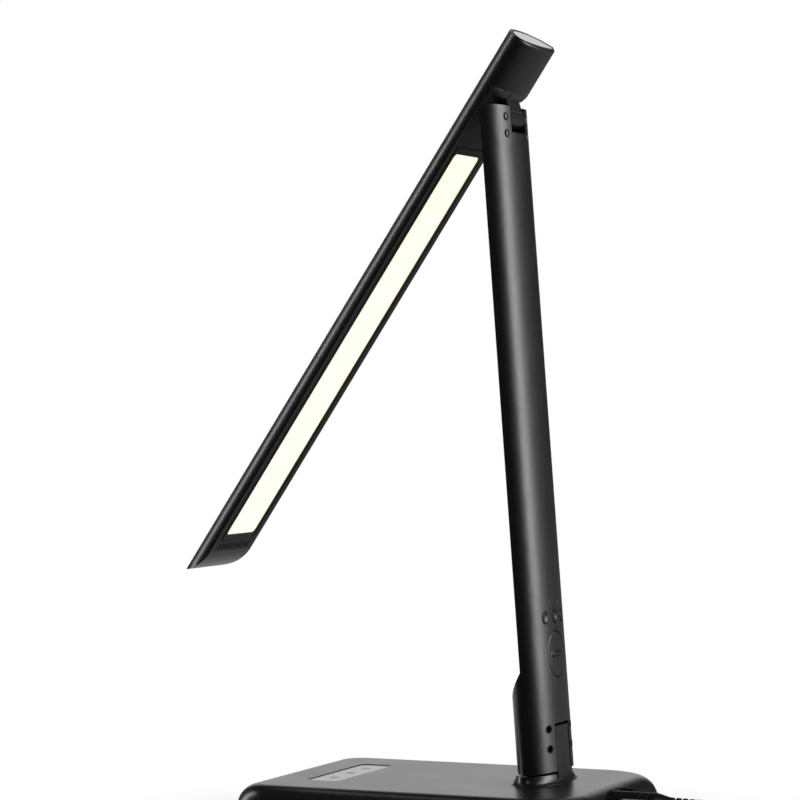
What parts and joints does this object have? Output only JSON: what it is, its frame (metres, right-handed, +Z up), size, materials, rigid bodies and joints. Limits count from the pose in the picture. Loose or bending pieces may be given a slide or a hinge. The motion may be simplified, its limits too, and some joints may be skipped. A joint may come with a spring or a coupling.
{
  "type": "led desk lamp",
  "caption": "Folding desk lamp: flat weighted base with touch panel, oval arm and long LED head on friction hinges, closing into one slim bar.",
  "frame": {"origin": "underside of the base's middle foot, on the table", "axes": "+Z up, -Y towards the user, +X to the right of the user's view from the front"},
  "size_m": [0.1927, 0.3368, 0.4164],
  "materials": {
    "base_black": "satin black",
    "trim_black": "matt black",
    "ballast": "raw plate",
    "rubber": "soft black",
    "dark_steel": "blackened steel",
    "gloss_black": "polished black",
    "board": "green solder mask",
    "plug": "moulded black",
    "steel": "bare steel",
    "washer": "black nylon",
    "shell_black": "satin black, faintly metallic",
    "window": "clear dark window",
    "lcd": "grey-green display",
    "cell": "bright nickel",
    "cover_black": "matt black, lightly scuffed",
    "button": "satin dark grey",
    "diffuser": "milky, lit",
    "guide": "clear",
    "reflector": "white film",
    "led": "white strip with phosphor chips",
    "alu": "bare sheet",
    "cord": "soft black jacket"
  },
  "bodies": {
    "base": {"base_shell": "base_black", "base_plate": "trim_black", "ballast_plate": "ballast", "rubber_feet": "rubber", "base_screws": "dark_steel", "touch_panel": "gloss_black", "touch_board": "board", "dc_jack": "plug", "hinge_post": "base_black", "dc_plug": "plug", "cord_lead": "cord", "cord_coil": "cord", "coil_tie": "rubber", "wall_adapter": "plug"},
    "arm": {"arm_shell": "shell_black", "arm_front_cover": "trim_black", "display_window": "window", "lcd_module": "lcd", "clock_board": "board", "coin_cell": "cell", "lower_hinge_pin": "steel", "lower_hinge_washers": "washer", "lower_hinge_screws": "dark_steel", "upper_hinge_pin": "steel", "upper_hinge_washers": "washer", "upper_hinge_screws": "dark_steel"},
    "head": {"neck_knuckle": "shell_black", "head_shell": "shell_black", "head_bottom_cover": "trim_black", "panel_frame": "trim_black", "diffuser": "diffuser", "light_guide": "guide", "reflector": "reflector", "led_strips": "led", "heat_spreader": "alu", "head_end_cap": "gloss_black"},
    "button_left": {"set_button_left": "button"},
    "button_middle": {"set_button_middle": "button"},
    "button_right": {"set_button_right": "button"},
    "cover": {"battery_cover": "cover_black"}
  },
  "joints": [
    {"name": "arm_tilt", "type": "hinge", "parent": "base", "child": "arm", "pos_m": [-0.009, 0.04525, 0.0383], "axis": [1, 0, 0], "range_deg": [-4.4, 83]},
    {"name": "head_tilt", "type": "hinge", "parent": "arm", "child": "head", "pos_m": [-0.009, 0.02749, 0.36941], "axis": [-1, 0, 0], "range_deg": [-37.8, 52.2]},
    {"name": "set_button_left_press", "type": "slide", "parent": "arm", "child": "button_left", "axis": [0, -0.9971, -0.0767], "range_m": [0, 0.0007], "stiffness_N_per_m": 900},
    {"name": "set_button_middle_press", "type": "slide", "parent": "arm", "child": "button_middle", "axis": [0, -0.9971, -0.0767], "range_m": [0, 0.0007], "stiffness_N_per_m": 900},
    {"name": "set_button_right_press", "type": "slide", "parent": "arm", "child": "button_right", "axis": [0, -0.9971, -0.0767], "range_m": [0, 0.0007], "stiffness_N_per_m": 900},
    {"name": "battery_cover_turn", "type": "hinge", "parent": "arm", "child": "cover", "pos_m": [-0.009, 0.05309, 0.09025], "axis": [0, 0.9971, 0.0767], "range_deg": [0, 45]}
  ]
}
